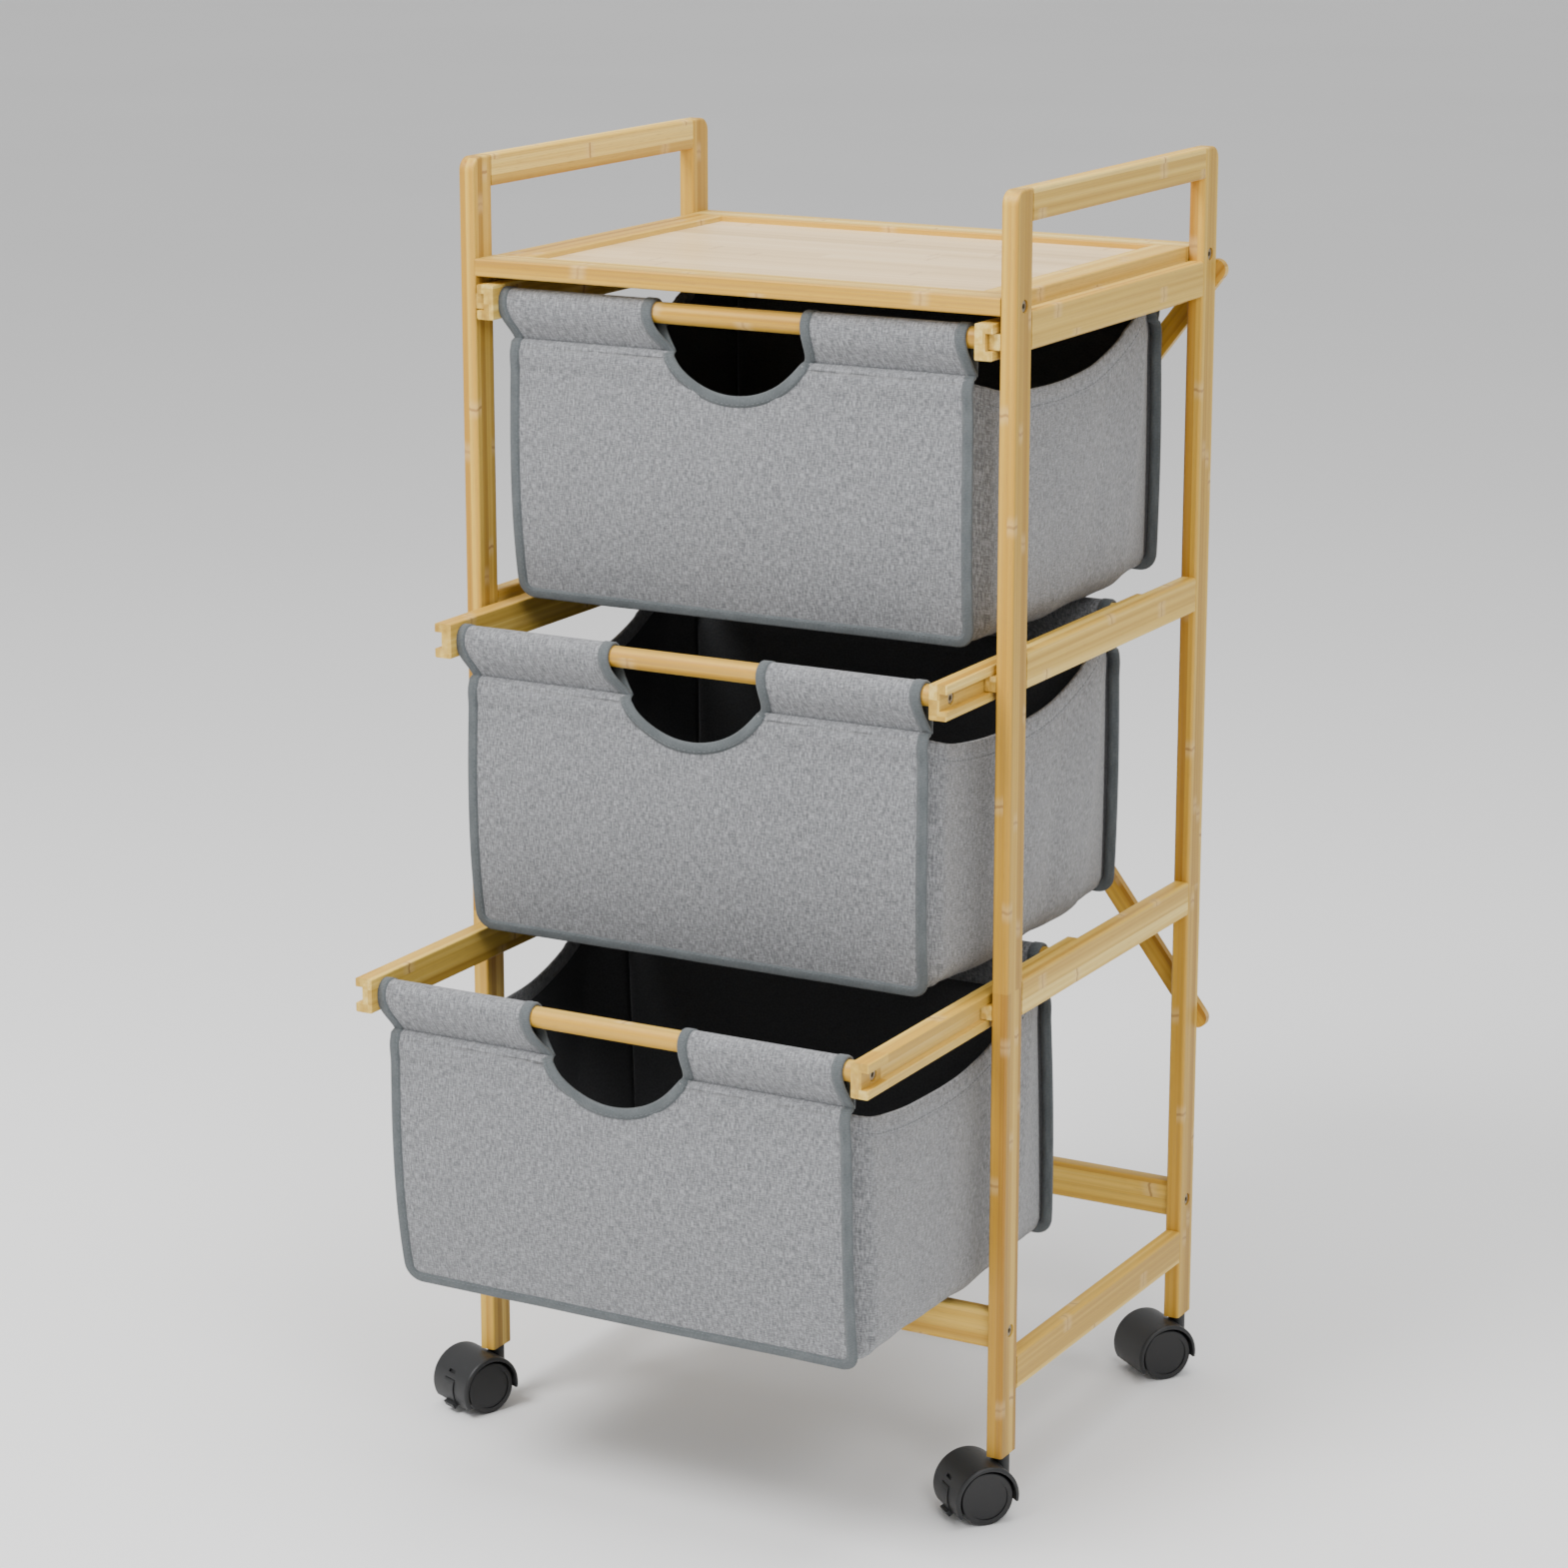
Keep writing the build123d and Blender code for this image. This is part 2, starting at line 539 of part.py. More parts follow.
def footprint_middle(nodes):
    """The middle of the whole object's footprint, in whole millimetres: the part's origin."""
    boxes = [shape.bounding_box() for shapes in nodes.values() for shape in shapes]
    middle_x = (min(b.min.X for b in boxes) + max(b.max.X for b in boxes)) / 2
    middle_y = (min(b.min.Y for b in boxes) + max(b.max.Y for b in boxes)) / 2
    return round(middle_x), round(middle_y)


def main():
    nodes = make_all()
    middle_x, middle_y = footprint_middle(nodes)
    print("origin, from the frame's own middle:", middle_x, middle_y)
    to_origin = Location((-middle_x, -middle_y, 0))
    os.makedirs("parts", exist_ok=True)
    for name, shapes in nodes.items():
        solids = [solid.moved(to_origin) for shape in shapes for solid in shape.solids()]
        export_step(solids[0] if len(solids) == 1 else Compound(children=solids), f"parts/{name}.step")


if __name__ == "__main__":
    main()
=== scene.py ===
from math import cos, pi, radians, sin

import bpy
import numpy as np
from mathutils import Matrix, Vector, noise


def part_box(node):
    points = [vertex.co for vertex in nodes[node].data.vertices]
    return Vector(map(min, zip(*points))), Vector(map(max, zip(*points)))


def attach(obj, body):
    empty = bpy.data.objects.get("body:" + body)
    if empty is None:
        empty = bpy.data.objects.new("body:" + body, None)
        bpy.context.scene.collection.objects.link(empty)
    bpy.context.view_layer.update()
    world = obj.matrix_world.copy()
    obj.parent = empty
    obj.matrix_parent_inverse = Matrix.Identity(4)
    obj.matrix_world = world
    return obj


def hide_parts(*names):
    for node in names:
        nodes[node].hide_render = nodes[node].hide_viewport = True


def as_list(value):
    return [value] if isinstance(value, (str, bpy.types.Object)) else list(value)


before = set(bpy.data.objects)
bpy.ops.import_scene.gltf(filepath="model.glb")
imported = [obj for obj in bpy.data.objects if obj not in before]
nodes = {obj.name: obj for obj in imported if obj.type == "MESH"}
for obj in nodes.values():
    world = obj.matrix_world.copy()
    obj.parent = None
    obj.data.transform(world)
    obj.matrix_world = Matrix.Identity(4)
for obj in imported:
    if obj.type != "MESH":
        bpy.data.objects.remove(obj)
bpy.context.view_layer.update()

# A bamboo laundry sorter on casters, with three fabric bags that hang by sleeves from pull-out dowels.
# Metres, +Z up, the front faces -Y. Lengths given with MM are in millimetres.
MM = 0.001
DRAWERS = ("top", "middle", "bottom")
SIDES = {"left": -1, "right": 1}


def middle_of(node):
    """The middle of a node's box."""
    low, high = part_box(node)
    return (low + high) / 2


stand_middle = (middle_of("front_left_leg") + middle_of("back_right_leg")) / 2


# ---------------------------------------------------------------- finishes
class Value:
    """What varies over a surface. Sums on it add the shader's Math nodes."""

    def __init__(self, finish, socket):
        self.finish = finish
        self.socket = socket

    def sum(self, operation, first, second):
        return self.finish.add("ShaderNodeMath", {"operation": operation}, {0: first, 1: second})

    def __add__(self, other):
        return self.sum("ADD", self, other)

    def __radd__(self, other):
        return self.sum("ADD", other, self)

    def __sub__(self, other):
        return self.sum("SUBTRACT", self, other)

    def __rsub__(self, other):
        return self.sum("SUBTRACT", other, self)

    def __mul__(self, other):
        return self.sum("MULTIPLY", self, other)

    def __rmul__(self, other):
        return self.sum("MULTIPLY", other, self)

    def __truediv__(self, other):
        return self.sum("DIVIDE", self, other)

    def __abs__(self):
        return self.sum("ABSOLUTE", self, 0)

    def __mod__(self, other):
        return self.sum("FLOORED_MODULO", self, other)


class Finish:
    """One material, made of nodes."""

    def __init__(self, name, **fixed):
        self.material = bpy.data.materials.new(name)
        self.material.use_nodes = True
        self.tree = self.material.node_tree
        self.shader = self.tree.nodes["Principled BSDF"]
        for socket, value in fixed.items():
            self.shader.inputs[socket.replace("_", " ")].default_value = value

    def add(self, kind, settings=None, values=None, output=0):
        """A node of that type, its settings first, then what goes into its sockets."""
        node = self.tree.nodes.new(kind)
        for name, setting in (settings or {}).items():
            if name == "stops":
                self.set_stops(node.color_ramp.elements, setting)
            else:
                setattr(node, name, setting)
        for name, value in (values or {}).items():
            if isinstance(value, Value):
                self.tree.links.new(value.socket, node.inputs[name])
            else:
                node.inputs[name].default_value = value
        return Value(self, node.outputs[output])

    def set_stops(self, elements, stops):
        for element, (place, colour) in zip(elements, (stops[0], stops[-1])):
            element.position = place
            element.color = (*colour, 1)
        for place, colour in stops[1:-1]:
            elements.new(place).color = (*colour, 1)

    def set(self, socket, value):
        self.tree.links.new(value.socket, self.shader.inputs[socket])

    # the few nodes that every finish uses
    def along_axes(self, turn=(0, 0, 0)):
        """Places in the piece, turned so that X runs along the grain."""
        place = self.add("ShaderNodeTexCoord", output="Object")
        return self.add("ShaderNodeMapping", values={"Vector": place, "Rotation": turn})

    def on_pattern(self):
        """Where a point lies on the flat cut, in metres."""
        return self.add("ShaderNodeAttribute", {"attribute_name": "flat_cut"}, output="Vector")

    def stretched(self, place, x, y, z=0):
        return self.add("ShaderNodeVectorMath", {"operation": "MULTIPLY"}, {0: place, 1: (x, y, z)})

    def part(self, place, axis):
        return self.add("ShaderNodeSeparateXYZ", values={"Vector": place}, output=axis)

    def cloud(self, place, detail=2.0, rough=0.5):
        return self.add("ShaderNodeTexNoise", values={"Vector": place, "Scale": 1.0, "Detail": detail,
                                                      "Roughness": rough})

    def ramp(self, value, *stops):
        return self.add("ShaderNodeValToRGB", {"stops": stops}, {"Fac": value})

    def step(self, value, low, high):
        """0 below low, 1 above high, smooth between."""
        return self.add("ShaderNodeMapRange", {"interpolation_type": "SMOOTHSTEP"},
                        {"Value": value, "From Min": low, "From Max": high})

    def mix(self, factor, first, second, blend="MIX"):
        colours = [c if isinstance(c, Value) else (*c, 1) for c in (first, second)]
        return self.add("ShaderNodeMix", {"data_type": "RGBA", "blend_type": blend},
                        {0: factor, 6: colours[0], 7: colours[1]}, output=2)

    def raise_by(self, height, depth, strength=1.0):
        """Bump, depth being how far the height's 0 to 1 stands up, in metres."""
        self.set("Normal", self.add("ShaderNodeBump", values={"Height": height, "Distance": depth,
                                                              "Strength": strength}))


def bamboo(name, turn, golden_axis, paler=0.0):
    """Laminated bamboo under satin lacquer. The golden_axis faces show the strips' broad sides."""
    strip_wide, strip_deep, strip_long = 6.2 * MM, 11 * MM, 620 * MM
    node_gap = 270 * MM
    f = Finish(name, Coat_Weight=0.05, Coat_Roughness=0.35, Specular_IOR_Level=0.3)
    place = f.along_axes(turn)
    wobble = f.cloud(f.stretched(place, 3, 40, 40), 1.0) - 0.5
    along, across, deep = (f.part(place, axis) for axis in "XYZ")
    # each strip of the laminate is one cell of a grid, and has its own tone
    bent_across = across / strip_wide + wobble * 0.16
    bent_deep = deep / strip_deep + wobble * 0.1
    strip = f.add("ShaderNodeCombineXYZ",
                  values={"X": along / strip_long + 0.37, "Y": bent_across + 0.31, "Z": bent_deep + 0.43})
    cell = f.add("ShaderNodeVectorMath", {"operation": "FLOOR"}, {0: strip})
    tone = f.add("ShaderNodeTexWhiteNoise", {"noise_dimensions": "3D"}, {"Vector": cell})
    other = f.add("ShaderNodeTexWhiteNoise", {"noise_dimensions": "3D"},
                  {"Vector": f.stretched(cell, 1.7, 2.3, 3.1)})
    glue = f.step(abs((bent_across + 0.31) % 1.0 - 0.5), 0.468, 0.5)
    # fibres run the whole length; pores are short dark dashes among them
    fibre = f.cloud(f.stretched(place, 7, 900, 900), 3.0, 0.6)
    streak = f.cloud(f.stretched(place, 1.6, 210, 210), 2.0)
    pores = f.step(f.cloud(f.stretched(place, 70, 2300, 2300), 1.0), 0.64, 0.72)
    # the cane's own nodes: a thin brown line with a pale halo, at even gaps in each strip
    node_way = (along / node_gap + other + f.cloud(f.stretched(place, 20, 160, 160), 1.0) * 0.02) % 1.0
    from_node = abs(node_way - 0.5)
    knot = 1 - f.step(from_node, 0.0015, 0.006)
    halo = 1 - f.step(from_node, 0.008, 0.035)
    shade = tone * 0.5 + streak * 1.0 - 0.26 + paler
    warm = f.ramp(shade, (0.15, (0.36, 0.165, 0.012)), (0.5, (0.555, 0.305, 0.028)),
                  (0.8, (0.70, 0.440, 0.062)), (1.0, (0.79, 0.540, 0.120)))
    pale = f.ramp(shade, (0.15, (0.34, 0.185, 0.022)), (0.5, (0.485, 0.295, 0.042)),
                  (0.8, (0.65, 0.435, 0.085)), (1.0, (0.78, 0.580, 0.170)))
    facing = f.part(f.add("ShaderNodeNewGeometry", output="Normal"), golden_axis)
    colour = f.mix(f.step(abs(facing), 0.4, 0.75), pale, warm)
    colour = f.mix(f.step(fibre, 0.35, 0.75) * 0.30, colour, (0.40, 0.235, 0.085))
    colour = f.mix(halo * 0.35, colour, (0.70, 0.50, 0.23))
    colour = f.mix(knot * (0.35 + 0.4 * tone), colour, (0.27, 0.135, 0.045))
    colour = f.mix(pores * 0.28, colour, (0.24, 0.13, 0.05))
    colour = f.mix(glue * 0.34, colour, (0.30, 0.17, 0.065))
    f.set("Base Color", colour)
    f.set("Roughness", 0.40 + fibre * 0.16 + pores * 0.1)
    f.raise_by(fibre * 0.5 + knot * 0.6 - pores * 0.5 - glue * 0.7, 0.00012, 0.6)
    return f.material


def tray_board():
    """The thin tray board: wide pale strips across the sorter, softer and pinker than the sticks."""
    strip_wide, strip_long, node_gap = 19 * MM, 900 * MM, 300 * MM
    f = Finish("tray_board", Coat_Weight=0.15, Coat_Roughness=0.3)
    place = f.along_axes()
    along, across = f.part(place, "X"), f.part(place, "Y")
    ends = f.add("ShaderNodeTexWhiteNoise", {"noise_dimensions": "1D"},
                 {"W": f.add("ShaderNodeMath", {"operation": "FLOOR"}, {0: across / strip_wide})})
    strip = f.add("ShaderNodeCombineXYZ",
                  values={"X": along / strip_long + ends, "Y": across / strip_wide, "Z": 0.5})
    cell = f.add("ShaderNodeVectorMath", {"operation": "FLOOR"}, {0: strip})
    tone = f.add("ShaderNodeTexWhiteNoise", {"noise_dimensions": "3D"}, {"Vector": cell})
    fibre = f.cloud(f.stretched(place, 6, 700, 700), 3.0, 0.6)
    streak = f.cloud(f.stretched(place, 1.5, 120, 120), 2.0)
    wander = f.cloud(f.stretched(place, 20, 120, 1), 1.0) * 0.02
    from_node = abs((along / node_gap + tone * 3.0 + wander) % 1.0 - 0.5)
    knot = 1 - f.step(from_node, 0.002, 0.008)
    glue = f.step(abs((across / strip_wide) % 1.0 - 0.5), 0.488, 0.5)
    colour = f.ramp(tone * 0.4 + streak * 0.6, (0.2, (0.60, 0.415, 0.190)), (0.5, (0.70, 0.510, 0.260)),
                    (0.8, (0.78, 0.600, 0.340)))
    colour = f.mix(f.step(fibre, 0.4, 0.8) * 0.2, colour, (0.42, 0.27, 0.13))
    colour = f.mix(knot * 0.4, colour, (0.36, 0.21, 0.09))
    colour = f.mix(glue * 0.25, colour, (0.34, 0.21, 0.10))
    f.set("Base Color", colour)
    f.set("Roughness", 0.36 + fibre * 0.14)
    f.raise_by(fibre * 0.5 - glue * 0.6, 0.0001, 0.5)
    return f.material


def bag_cloth():
    """Grey melange: light and dark yarns in a plain weave."""
    yarn = 0.8 * MM
    f = Finish("bag_cloth", Sheen_Weight=0.25, Sheen_Roughness=0.5, Specular_IOR_Level=0.2)
    cut = f.on_pattern()
    across, down = f.part(cut, "X"), f.part(cut, "Y")
    warp = f.cloud(f.stretched(cut, 1500, 190), 1.0, 0.7)
    weft = f.cloud(f.stretched(cut, 210, 1500), 1.0, 0.7)
    slub = f.cloud(f.stretched(cut, 800, 70), 1.0, 0.6)
    over = f.add("ShaderNodeMath", {"operation": "SINE"}, {0: across * (2 * pi / yarn)})
    under = f.add("ShaderNodeMath", {"operation": "SINE"}, {0: down * (2 * pi / yarn)})
    crossing = over * under
    light = f.step(warp * 0.46 + weft * 0.38 + slub * 0.16 + crossing * 0.04, 0.36, 0.64)
    colour = f.ramp(light, (0.0, (0.104, 0.106, 0.112)), (0.5, (0.186, 0.190, 0.198)),
                    (1.0, (0.318, 0.323, 0.334)))
    cloudy = f.cloud(f.stretched(cut, 14, 11), 2.0)
    uneven = f.ramp(cloudy, (0.2, (0.82, 0.82, 0.83)), (0.8, (1.0, 1.0, 1.0)))
    colour = f.mix(0.35, colour, uneven, "MULTIPLY")
    f.set("Base Color", colour)
    f.set("Roughness", 0.88 - light * 0.1)
    f.raise_by(crossing * 0.5 + warp * 0.9 + weft * 0.5, 0.00018, 0.7)
    return f.material


def tape_cloth():
    """Ribbed binding tape, a darker blue grey."""
    rib_gap = 1.1 * MM
    f = Finish("binding_tape", Sheen_Weight=0.2, Sheen_Roughness=0.5, Specular_IOR_Level=0.25)
    cut = f.on_pattern()
    rib = f.add("ShaderNodeMath", {"operation": "SINE"}, {0: f.part(cut, "X") * (2 * pi / rib_gap)})
    fuzz = f.cloud(f.stretched(cut, 900, 500), 3.0, 0.6)
    slub = f.cloud(f.stretched(cut, 60, 200), 2.0)
    colour = f.ramp(fuzz * 0.5 + slub * 0.4 + rib * 0.06, (0.25, (0.060, 0.069, 0.073)),
                    (0.5, (0.094, 0.105, 0.110)), (0.75, (0.140, 0.155, 0.161)))
    f.set("Base Color", colour)
    f.set("Roughness", 0.8 + fuzz * 0.15)
    f.raise_by(rib * 0.5 + fuzz * 0.5, 0.0002, 0.7)
    return f.material


def lining_and_shade():
    """The coated inside of the bags: a dark grey coating, coloured near black as painted shade for the
    shadow inside the bags.
    """
    f = Finish("bag_lining_and_shade", Specular_IOR_Level=0.35)
    cut = f.on_pattern()
    grain = f.cloud(f.stretched(cut, 700, 700), 2.0)
    # painted shade: the inner faces are near black, darker than the grey coating itself, standing in for
    # the shade inside the bags
    colour = f.ramp(grain, (0.3, (0.045, 0.046, 0.049)), (0.7, (0.082, 0.084, 0.088)))
    f.set("Base Color", colour)
    f.set("Roughness", 0.62 + grain * 0.2)
    f.raise_by(grain, 0.00012, 0.6)
    return f.material


def thread():
    """Twisted sewing thread."""
    f = Finish("sewing_thread", Sheen_Weight=0.2, Specular_IOR_Level=0.3)
    place = f.along_axes()
    twist = f.cloud(f.stretched(place, 3000, 3000, 3000), 1.0)
    f.set("Base Color", f.ramp(twist, (0.3, (0.075, 0.085, 0.092)), (0.7, (0.150, 0.165, 0.172))))
    f.set("Roughness", 0.6 + twist * 0.25)
    return f.material


def moulded(name, dark, light, rough, grain_depth):
    """Moulded plastic with an eroded grain and a little scuffing."""
    f = Finish(name, Specular_IOR_Level=0.45)
    place = f.along_axes()
    grain = f.cloud(f.stretched(place, 1900, 1900, 1900), 2.0, 0.6)
    scuff = f.step(f.cloud(f.stretched(place, 90, 260, 140), 4.0, 0.7), 0.58, 0.74)
    f.set("Base Color", f.mix(scuff * 0.5 + grain * 0.3, dark, light))
    f.set("Roughness", rough + scuff * 0.16 + grain * 0.08)
    f.raise_by(grain, grain_depth, 0.6)
    return f.material


def plated(name, colour, dull, rough):
    """Zinc plated steel: fine turning marks and small dull patches."""
    f = Finish(name, Metallic=1.0)
    place = f.along_axes()
    marks = f.cloud(f.stretched(place, 4200, 900, 900), 2.0)
    patch = f.step(f.cloud(f.stretched(place, 400, 400, 400), 3.0), 0.5, 0.7)
    f.set("Base Color", f.mix(patch * 0.6, colour, dull))
    f.set("Roughness", rough + marks * 0.18 + patch * 0.12)
    f.raise_by(marks, 0.00003, 0.5)
    return f.material


def pale_floor():
    """The studio floor: matt, almost white and almost even."""
    f = Finish("pale_floor", Specular_IOR_Level=0.2)
    place = f.along_axes()
    patch = f.cloud(f.stretched(place, 0.8, 0.8, 0.8), 2.0)
    f.set("Base Color", f.ramp(patch, (0.2, (0.80, 0.80, 0.80)), (0.8, (0.83, 0.83, 0.83))))
    f.set("Roughness", 0.6 + 0.1 * f.cloud(f.stretched(place, 60, 60, 60)))
    return f.material


rising_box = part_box("brace_rising_slat")
brace_slope = np.arctan2(rising_box[1].z - rising_box[0].z, rising_box[1].x - rising_box[0].x)
QUARTER = pi / 2
UPRIGHT = bamboo("bamboo_upright", (0, QUARTER, 0), "Y", -0.08)
LENGTHWISE = bamboo("bamboo_lengthwise", (0, 0, -QUARTER), "Z", 0.22)
CROSSWISE = bamboo("bamboo_crosswise", (0, 0, 0), "Y", 0.16)
RISING = bamboo("bamboo_rising", (0, brace_slope, 0), "Y")
FALLING = bamboo("bamboo_falling", (0, -brace_slope, 0), "Y")
BOARD = tray_board()
CLOTH = bag_cloth()
TAPE = tape_cloth()
# the bags' inner faces: a dark coating, darkened further as painted shade
LINING_AND_SHADE = lining_and_shade()
THREAD = thread()
HOOD = moulded("hood_plastic", (0.008, 0.0085, 0.009), (0.030, 0.031, 0.033), 0.42, 0.00012)
WHEEL = moulded("wheel_plastic", (0.006, 0.006, 0.0065), (0.022, 0.022, 0.024), 0.36, 0.00008)
BOLT = plated("plated_bolt", (0.36, 0.31, 0.22), (0.20, 0.17, 0.12), 0.32)
STEM = plated("caster_steel", (0.60, 0.60, 0.60), (0.38, 0.38, 0.38), 0.26)


def finish_for(node):
    """Which finish a CAD node gets, by what it is."""
    kinds = {"_leg": UPRIGHT, "_rail": LENGTHWISE, "_guide": LENGTHWISE, "_runner": LENGTHWISE,
             "_dowel": CROSSWISE, "_stretcher": CROSSWISE, "_housing": HOOD, "_brake_lever": HOOD,
             "_wheels": WHEEL, "_stems": STEM, "_bolts": BOLT, "_screws": BOLT, "_bag": CLOTH}
    special = {"tray_panel": BOARD, "tray_front_strip": CROSSWISE, "tray_back_strip": CROSSWISE,
               "tray_left_strip": LENGTHWISE, "tray_right_strip": LENGTHWISE,
               "brace_rising_slat": RISING, "brace_falling_slat": FALLING}
    return special.get(node) or next(finish for ending, finish in kinds.items() if node.endswith(ending))


for node_name, node_object in nodes.items():
    node_object.data.materials.clear()
    node_object.data.materials.append(finish_for(node_name))


# ---------------------------------------------------------------- cloth shapes
HALF_WIDE = 182.5 * MM    # half the width of a bag's front panel
SEAM = 27 * MM            # from the dowel's axis down to the seam that closes the sleeve
FLOOR = 214 * MM          # ... and to the bottom edge
SCOOP_WIDE = 60 * MM      # the hand opening: half its width, and its depth below the dowel's axis
SCOOP_DEEP = 54 * MM
CORNER = 12 * MM          # rounding of the front and back panels' bottom corners
WEAVE = 1.1 * MM          # thickness of the cloth
TAPE_WIDE = 8 * MM
TAPE_HALF = 1.3 * MM      # half the thickness of the bound edge
TAPE_OVERHANG = 1 * MM    # how far the tape's fold stands past the cloth's edge
STITCH_INSET = 5.2 * MM   # from a bound edge in to its row of stitches
HEM_BAND = 14 * MM        # depth of the folded hems at the top of the sides

# where the panels hang, as (down from the dowel's axis, out from it), in millimetres: the sleeve leans in
# and the panel folds out again below the seam
SLEEVE_LINE = [(0, 8.9), (7, 8.5), (14, 6.2), (20, 2.8), (25, -0.2), (26.8, -0.8), (28, 2.6), (31, 4.2),
               (50, 4.6)]
HANG = {"front": SLEEVE_LINE + [(110, 5.6), (160, 4.0), (200, -0.5), (214, -3.0)],
        "back": SLEEVE_LINE + [(110, 6.2), (160, 6.6), (200, 6.2), (214, 5.6)]}
# the sagging hem of the sides, as (back from the front dowel's axis, down from it), in millimetres
HEM_LINE = [(-4, 28), (25, 38), (60, 44), (110, 47), (150, 46), (190, 41), (225, 30), (265, 12), (304, -4)]
# the sides' columns of points, from the front seam to the back one
BACK_STEPS = np.linspace(0, 1, 65)
# each bag's own creases, how far it leans sideways as it hangs, its floor's sag, and how full it looks
BAGS = {"top": {"seed": 3.1, "lean": 0.0, "sag": 7 * MM, "fill": 1.0},
        "middle": {"seed": 11.7, "lean": -0.006, "sag": 7 * MM, "fill": 0.85},
        "bottom": {"seed": 23.9, "lean": 0.022, "sag": 4 * MM, "fill": 1.15}}
SLEEVE_SHIFT = -6 * MM    # the sleeves sit a little to the left on their dowels
SLEEVE_SPREAD = 2.5 * MM  # ... and are wider than the panels by this at each end


def through(points, at):
    """A smooth curve through given points: the slope at each is that of its neighbours."""
    x, y = np.array(points, float).T * MM
    slope = np.gradient(y, x)
    at = np.clip(at, x[0], x[-1])
    i = np.clip(np.searchsorted(x, at) - 1, 0, len(x) - 2)
    step = x[i + 1] - x[i]
    t = (at - x[i]) / step
    return ((2 * t**3 - 3 * t**2 + 1) * y[i] + (t**3 - 2 * t**2 + t) * step * slope[i]
            + (3 * t**2 - 2 * t**3) * y[i + 1] + (t**3 - t**2) * step * slope[i + 1])


def ease(x):
    """0 below 0, 1 above 1, smooth between."""
    x = np.clip(x, 0, 1)
    return x * x * (3 - 2 * x)


def ripple(across, down, seed, detail=2):
    """Soft creases between -1 and 1, one value for each pair of coordinates."""
    flat = zip(np.ravel(across), np.ravel(down))
    values = [noise.fractal(Vector((a, b, seed)), 0.9, 2.1, detail) for a, b in flat]
    return np.reshape(values, np.shape(across))


def way_along(path):
    """The length of a path from its start to each of its points."""
    return np.r_[0, np.cumsum(np.linalg.norm(np.diff(path, axis=0), axis=1))]


def points_at(at, way, path):
    """The points of a path at given lengths along it."""
    return np.stack([np.interp(at, way, path[:, k]) for k in range(3)], -1)


def tube_faces(start, rings, around):
    """The faces of a closed tube whose points come ring by ring, with its two end caps."""
    faces = []
    for i in range(rings - 1):
        for j in range(around):
            a, b = start + i * around + j, start + i * around + (j + 1) % around
            faces.append((a, b, b + around, a + around))
    last = start + (rings - 1) * around
    return faces + [tuple(range(start, start + around))[::-1], tuple(range(last, last + around))]


def sheet_object(name, places, cut, finishes, thickness=WEAVE, keep=None):
    """A sheet of cloth from a grid of places and of where each lies on the flat cut."""
    rows, columns = places.shape[:2]
    faces = [(r * columns + c, r * columns + c + 1, (r + 1) * columns + c + 1, (r + 1) * columns + c)
             for r in range(rows - 1) for c in range(columns - 1) if keep is None or keep[r, c]]
    return mesh_object(name, places.reshape(-1, 3), cut.reshape(-1, 2), faces, finishes, thickness)


def mesh_object(name, places, cut, faces, finishes, thickness=0.0):
    """A smooth piece from its points, where each lies on the flat cut, and its faces."""
    mesh = bpy.data.meshes.new(name)
    mesh.from_pydata([tuple(p) for p in places], [], faces)
    flat_cut = mesh.attributes.new("flat_cut", "FLOAT_VECTOR", "POINT")
    flat_cut.data.foreach_set("vector", np.c_[cut, np.zeros(len(cut))].ravel())
    mesh.polygons.foreach_set("use_smooth", [True] * len(faces))
    for finish in finishes:
        mesh.materials.append(finish)
    piece = bpy.data.objects.new(name, mesh)
    bpy.context.scene.collection.objects.link(piece)
    if thickness:
        weld = piece.modifiers.new("weld", "WELD")
        weld.merge_threshold = 0.00002
        solid = piece.modifiers.new("cloth thickness", "SOLIDIFY")
        solid.thickness = thickness
        solid.offset = 0
        solid.use_even_offset = False
        solid.material_offset = len(finishes) - 1
    return piece


def sweep(name, path, outward, normal, finish, inner, outer, half):
    """Tape folded over an edge: a flat section, round at the fold, carried along the path."""
    turns = [radians(a) for a in (90, 45, 0, -45, -90)]
    fold = [(outer - half + half * cos(a), half * sin(a)) for a in turns]
    middle = inner / 2
    flank = half * 1.02
    section = np.array([(inner, half), (middle, flank), *fold, (middle, -flank), (inner, -half)])
    across, thick = section[None, :, :1], section[None, :, 1:]
    rings = path[:, None] + across * outward[:, None] + thick * normal[:, None]
    cut = np.stack(np.broadcast_arrays(way_along(path)[:, None], way_along(section)[None]), -1)
    faces = tube_faces(0, len(path), len(section))
    return mesh_object(name, rings.reshape(-1, 3), cut.reshape(-1, 2), faces, [finish])


def stitches(name, rows, long=2.9 * MM, gap=1.2 * MM, radius=0.28 * MM):
    """Rows of stitches. Each row is a path and the cloth's normals along it."""
    places, faces = [], []
    # one stitch, as (place along it, thickness), both as shares, with its ends tucked into the cloth
    profile = [(-0.5, 0.15), (-0.36, 0.85), (0, 1.0), (0.36, 0.85), (0.5, 0.15)]
    around = 6
    for path, normal in rows:
        way = way_along(path)
        for at in np.arange(long / 2, way[-1] - long / 2, long + gap):
            spot = points_at(at, way, path)
            ahead = points_at(at + long / 2, way, path) - spot
            up = points_at(at, way, normal)
            up /= np.linalg.norm(up)
            ahead /= max(np.linalg.norm(ahead), 1e-9)
            side = np.cross(ahead, up)
            faces += tube_faces(len(places), len(profile), around)
            for along, thick in profile:
                for k in range(around):
                    a = 2 * pi * k / around
                    lift = up * (sin(a) * radius * thick - abs(along) * radius * 0.9)
                    places.append(spot + ahead * along * long + side * cos(a) * radius * thick + lift)
    return mesh_object(name, np.array(places), np.zeros((len(places), 2)), faces, [THREAD])


